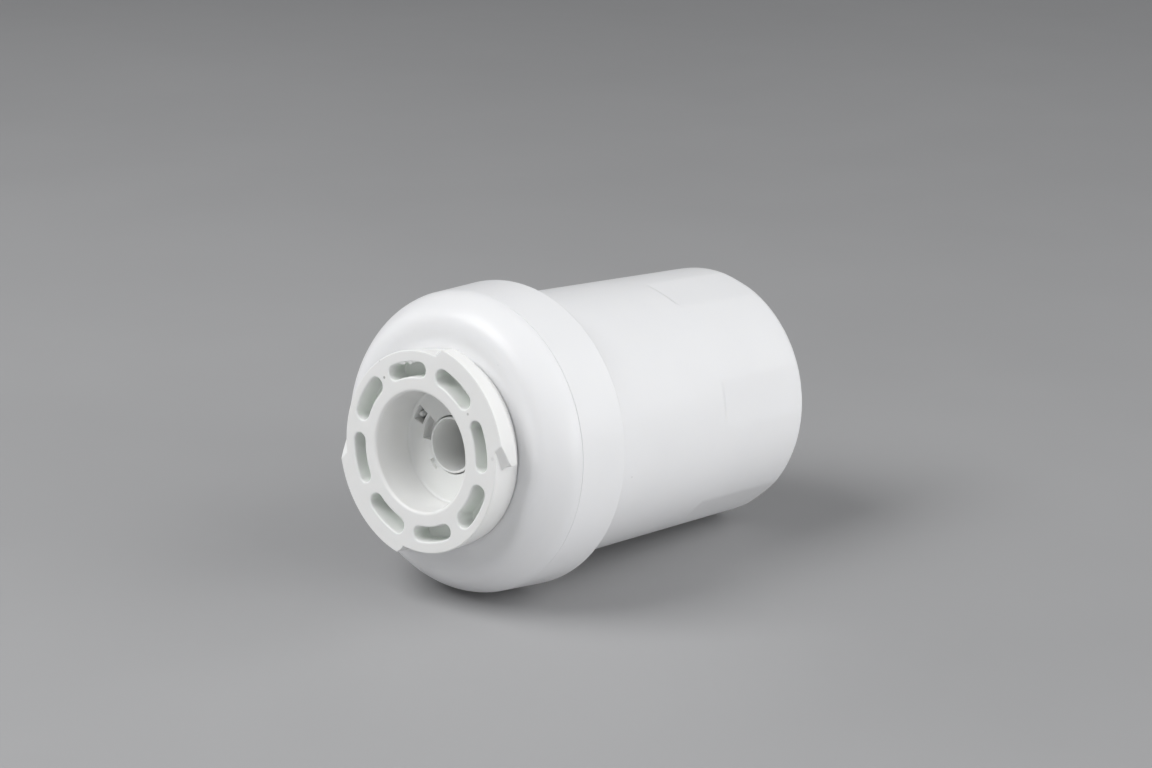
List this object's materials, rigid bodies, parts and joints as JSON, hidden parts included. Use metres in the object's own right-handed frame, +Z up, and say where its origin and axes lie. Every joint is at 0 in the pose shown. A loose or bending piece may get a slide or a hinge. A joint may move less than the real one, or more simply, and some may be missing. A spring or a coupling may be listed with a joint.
{
  "type": "twist-in water filter cartridge",
  "caption": "Sealed cylindrical water filter cartridge with a round-shouldered head, a wide open twist-in neck with bayonet cams, a collar band and grip flats on its closed end.",
  "frame": {"origin": "middle of the cartridge's length and width, at the height of the lowest point of the collar", "axes": "+Y runs along the cartridge axis from the open neck at -Y to the closed rear end at +Y, +Z is up with the cartridge lying on its side, +X is to the right when looking into the neck"},
  "size_m": [0.0776, 0.113, 0.0776],
  "materials": {
    "white_shell": "smooth white polypropylene, soft gloss",
    "neck_plastic": "moulded white polypropylene, satin",
    "inner_plastic": "natural white polypropylene, satin",
    "seal_rubber": "moulded black rubber",
    "hot_melt": "hot-melt glue",
    "carbon": "pressed carbon powder, matt black",
    "fleece": "white nonwoven fleece"
  },
  "bodies": {
    "root": {"sump": "white_shell", "head_cap": "white_shell", "bayonet_neck": "neck_plastic", "port_plate": "neck_plastic", "outlet_tube": "inner_plastic", "weld_bead": "inner_plastic", "neck_gasket": "seal_rubber", "neck_lock_ring": "inner_plastic", "tube_seal_front": "seal_rubber", "tube_seal_rear": "seal_rubber", "block_cap_front": "inner_plastic", "block_cap_rear": "inner_plastic", "glue_ring_front": "hot_melt", "glue_ring_rear": "hot_melt", "carbon_block": "carbon", "prefilter_wrap": "fleece", "outer_netting": "inner_plastic", "net_band_front": "inner_plastic", "net_band_rear": "inner_plastic", "core_tube": "inner_plastic", "core_wrap": "fleece", "rear_cushion": "seal_rubber"}
  },
  "joints": []
}
